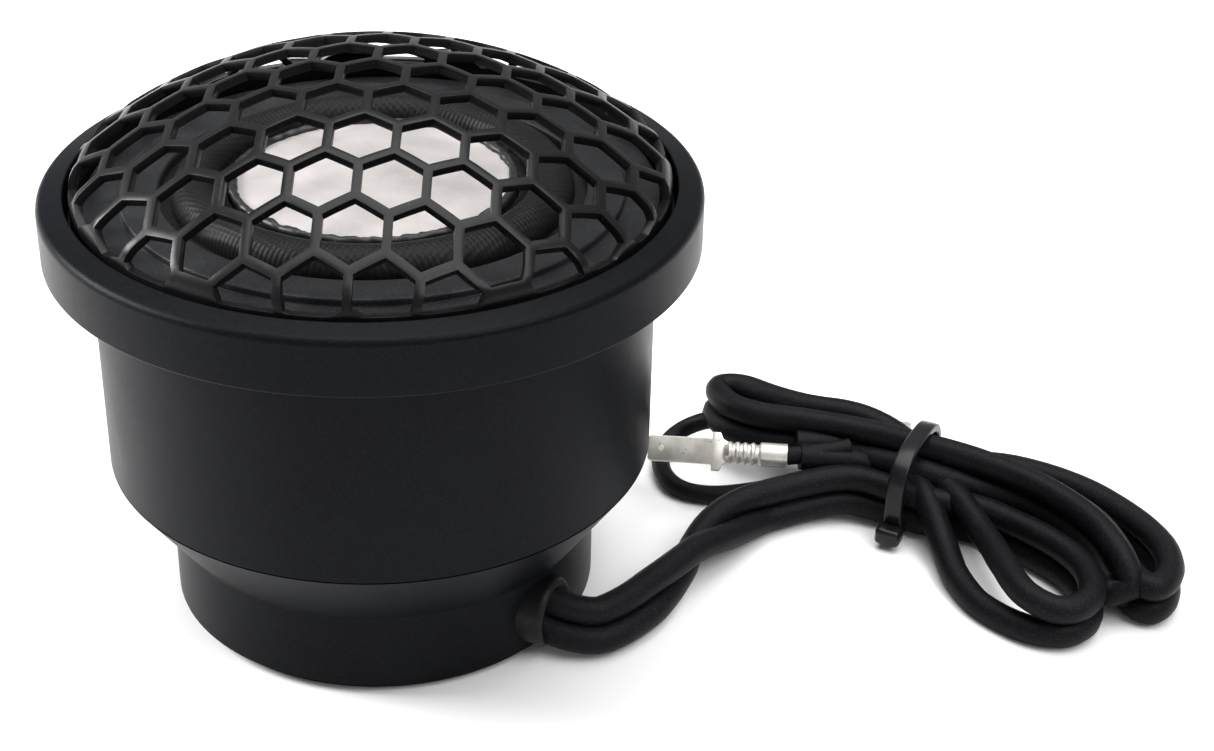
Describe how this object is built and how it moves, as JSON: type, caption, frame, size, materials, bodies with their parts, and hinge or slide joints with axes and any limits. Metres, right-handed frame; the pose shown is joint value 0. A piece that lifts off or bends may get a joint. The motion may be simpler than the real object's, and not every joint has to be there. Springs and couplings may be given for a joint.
{
  "type": "car tweeter",
  "caption": "Round car tweeter with a domed hexagonal mesh grille over a soft dome, a stepped rear can and a twin lead folded and tied in a hank.",
  "frame": {"origin": "centre of the foot pad's underside, on the housing's axis", "axes": "+Z along the housing's axis towards the grille; +X towards the side where the lead's hank lies"},
  "size_m": [0.113, 0.062, 0.0554],
  "materials": {
    "housing_black": "matt black sparkle powder coat",
    "grille_black": "satin black coated mesh",
    "face_black": "fine textured black plastic",
    "diaphragm": "pale grey coated dome",
    "surround_cloth": "black coated woven cloth",
    "glue_black": "black adhesive",
    "former_foil": "thin foil",
    "copper": "copper",
    "steel": "plated steel",
    "magnet_grey": "sintered magnet",
    "rubber": "matt rubber",
    "felt": "grey felt",
    "board": "fibre board",
    "core_jacket": "matt black cable jacket",
    "tie_plastic": "satin black nylon",
    "terminal_plate": "tin plated"
  },
  "bodies": {
    "housing": {"foot_pad": "rubber", "rear_can": "housing_black", "chamber_seal": "rubber", "housing_barrel": "housing_black", "trim_ring": "housing_black", "motor_screws": "steel", "top_plate": "steel", "magnet": "magnet_grey", "yoke": "steel", "copper_cap": "copper", "pole_felt": "felt", "terminal_board": "board", "solder_tags": "terminal_plate", "lead_wires": "core_jacket", "chamber_wadding": "felt", "surround": "surround_cloth", "surround_frame": "face_black", "face_plate": "face_black", "hex_grille": "grille_black", "grille_gasket": "rubber", "cable_grommet": "rubber", "cord_run": "core_jacket", "cord_hank": "core_jacket", "cable_tie": "tie_plastic", "spade_terminal_a": "terminal_plate", "lead_tail_a": "core_jacket", "spade_terminal_b": "terminal_plate", "lead_tail_b": "core_jacket"},
    "diaphragm": {"dome": "diaphragm", "dome_collar": "glue_black", "coil_former": "former_foil", "voice_coil": "copper"}
  },
  "joints": [
    {"name": "diaphragm_travel", "type": "slide", "parent": "housing", "child": "diaphragm", "axis": [0, 0, 1], "range_m": [-0.0005, 0.0005], "stiffness_N_per_m": 1500, "deforming": ["surround"]}
  ]
}
